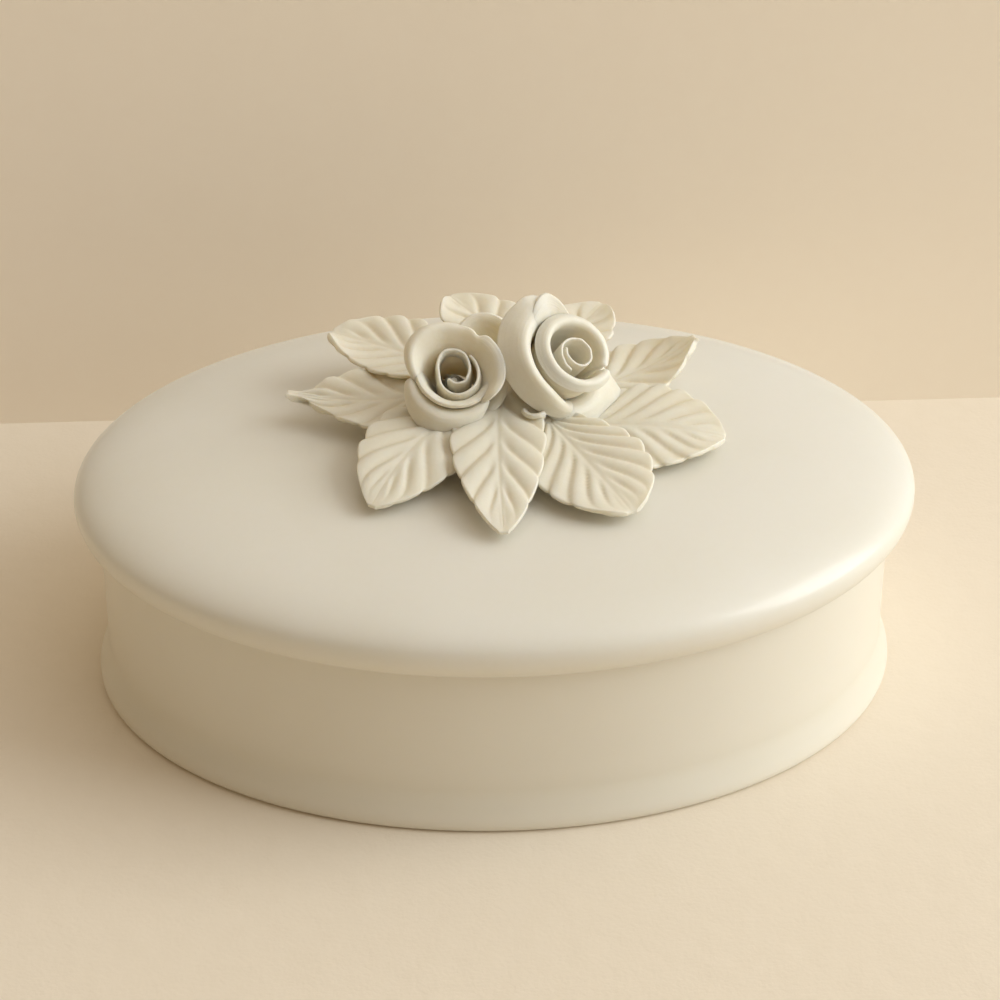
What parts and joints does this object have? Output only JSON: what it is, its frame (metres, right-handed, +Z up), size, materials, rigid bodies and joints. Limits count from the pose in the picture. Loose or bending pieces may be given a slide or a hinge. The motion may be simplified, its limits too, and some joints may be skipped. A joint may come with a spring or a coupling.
{
  "type": "oval porcelain trinket box with flowered lift-off lid",
  "caption": "Oval glazed porcelain trinket box with straight walls on a flared foot and a domed lift-off lid topped by hand-modelled roses on pleated leaves.",
  "frame": {"origin": "under the middle of the foot, on the surface the box stands on", "axes": "+X along the long axis of the oval, -Y to the front, +Z up"},
  "size_m": [0.14, 0.104, 0.0657],
  "materials": {
    "glazed_porcelain": "smooth clear gloss glaze over creamy white porcelain",
    "satin_bisque": "satin, thinly glazed hand-modelled porcelain clay"
  },
  "bodies": {
    "base": {"base": "glazed_porcelain"},
    "lid": {"lid": "glazed_porcelain", "flower_pad": "satin_bisque", "leaf_front": "satin_bisque", "leaf_front_left": "satin_bisque", "leaf_left": "satin_bisque", "leaf_back_left": "satin_bisque", "leaf_back": "satin_bisque", "leaf_back_right": "satin_bisque", "leaf_right_back": "satin_bisque", "leaf_right": "satin_bisque", "leaf_front_right": "satin_bisque", "left_rose_core": "satin_bisque", "left_rose_heart": "satin_bisque", "left_rose_inner_petal": "satin_bisque", "left_rose_outer_petal": "satin_bisque", "left_rose_low_petal": "satin_bisque", "left_rose_under_petal": "satin_bisque", "right_rose_core": "satin_bisque", "right_rose_heart": "satin_bisque", "right_rose_inner_petal": "satin_bisque", "right_rose_left_petal": "satin_bisque", "right_rose_back_petal": "satin_bisque", "right_rose_low_petal": "satin_bisque", "tucked_petal": "satin_bisque", "small_sepal": "satin_bisque"}
  },
  "joints": [
    {"name": "lid_lift", "type": "slide", "parent": "base", "child": "lid", "axis": [0, 0, 1], "range_m": [0, 0.06]}
  ]
}
